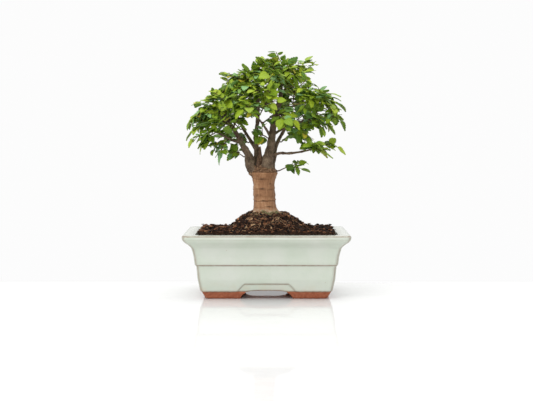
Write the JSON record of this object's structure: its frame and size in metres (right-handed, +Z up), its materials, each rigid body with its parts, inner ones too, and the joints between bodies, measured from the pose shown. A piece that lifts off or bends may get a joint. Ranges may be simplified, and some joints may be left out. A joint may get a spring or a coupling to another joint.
{
  "type": "potted bonsai tree",
  "caption": "Small-leaved deciduous bonsai with a stout trunk, spreading limbs and leafy sprays, in mounded soil in a footed rectangular celadon-glazed pot.",
  "frame": {"origin": "centre of the pot's plan on the surface the pot's feet stand on", "axes": "+Z up the trunk, +X to the right along the pot's long side, -Y out of the pot's front; the tree's front faces -Y too"},
  "size_m": [0.17, 0.12, 0.2528],
  "materials": {
    "glaze": "pale celadon gloss glaze, bare terracotta feet",
    "screen": "black moulded mesh",
    "soil": "dark bark and peat chips",
    "trunk_bark": "smooth warm brown bark with ring scars",
    "limb_bark": "rough grey-brown bark",
    "leaf": "satin green leaf"
  },
  "bodies": {
    "root": {"pot": "glaze", "drain_screen_left": "screen", "drain_screen_right": "screen", "soil": "soil", "trunk": "trunk_bark", "limb_left": "limb_bark", "limb_right": "limb_bark", "limb_middle": "limb_bark", "limb_back_left": "limb_bark", "limb_back_right": "limb_bark", "branch_front": "limb_bark", "branch_right_upper": "limb_bark", "branch_right_far": "limb_bark", "branch_right_low": "limb_bark", "branch_left_mid": "limb_bark", "branch_left_far": "limb_bark", "spray_top_centre": "leaf", "spray_top_right": "leaf", "spray_top_far_right": "leaf", "spray_top_front": "leaf", "spray_top_back": "leaf", "spray_top_left": "leaf", "spray_top_far_left": "leaf", "spray_top_back_left": "leaf", "spray_crown_front_left": "leaf", "spray_upper_left": "leaf", "spray_upper_left_outer": "leaf", "spray_upper_left_far": "leaf", "spray_upper_left_front": "leaf", "spray_left_inner_front": "leaf", "spray_left_front": "leaf", "spray_back_left_top": "leaf", "spray_back_left_inner": "leaf", "spray_back_left_outer": "leaf", "spray_back_left_low": "leaf", "spray_left_far_upper": "leaf", "spray_left_far_back": "leaf", "spray_left_far_mid": "leaf", "spray_left_mid_front": "leaf", "spray_left_hanging": "leaf", "spray_left_low": "leaf", "spray_left_low_inner": "leaf", "spray_front_centre": "leaf", "spray_front_upper": "leaf", "spray_front_right": "leaf", "spray_right_upper": "leaf", "spray_right_upper_front": "leaf", "spray_right_crown": "leaf", "spray_right_outer": "leaf", "spray_back_right_top": "leaf", "spray_back_right_inner": "leaf", "spray_back_right_outer": "leaf", "spray_back_right_low": "leaf", "spray_right_far": "leaf", "spray_right_fan": "leaf", "spray_right_fan_inner": "leaf", "spray_right_low_tip": "leaf", "spray_right_low_front": "leaf", "spray_inner_low": "leaf", "spray_right_lowest": "leaf"}
  },
  "joints": []
}
